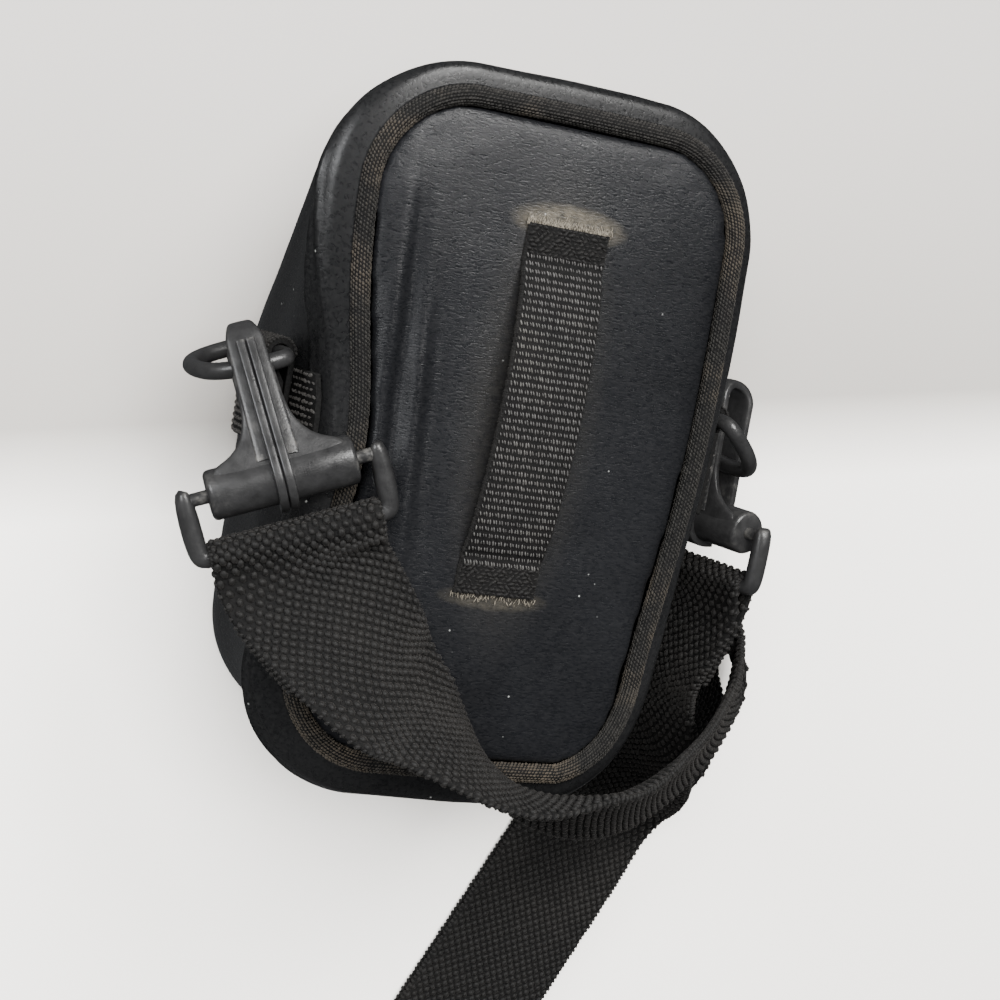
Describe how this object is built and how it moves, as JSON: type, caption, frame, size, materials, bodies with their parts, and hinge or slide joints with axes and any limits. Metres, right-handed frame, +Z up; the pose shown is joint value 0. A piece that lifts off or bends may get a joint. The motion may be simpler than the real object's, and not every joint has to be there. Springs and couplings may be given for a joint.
{
  "type": "camera case",
  "caption": "Soft camera case of black faux leather lying on its front, with piped back panel, webbing belt loop, snap hooks on side rings and a shoulder strap.",
  "frame": {"origin": "on the flat rest face of the front panel, under the middle of the back panel", "axes": "+Z up, out of the back panel; +Y towards the top of the case; +X across the panel, to the right as seen from above"},
  "size_m": [0.1843, 0.443, 0.1081],
  "materials": {
    "leather": "grained black faux leather, satin",
    "tape": "black woven tape over cord, worn brownish",
    "webbing": "black coarse webbing, matte",
    "plastic": "black moulded plastic, satin"
  },
  "bodies": {
    "root": {"back_panel": "leather", "piping": "tape", "gusset": "leather", "front_panel": "leather", "belt_loop": "webbing", "left_side_band": "webbing", "right_side_band": "webbing", "left_ring_tab": "webbing", "right_ring_tab": "webbing", "left_ring": "plastic", "right_ring": "plastic", "left_snap_hook": "plastic", "right_snap_hook": "plastic", "left_strap_frame": "plastic", "right_strap_frame": "plastic", "shoulder_strap": "webbing"}
  },
  "joints": []
}
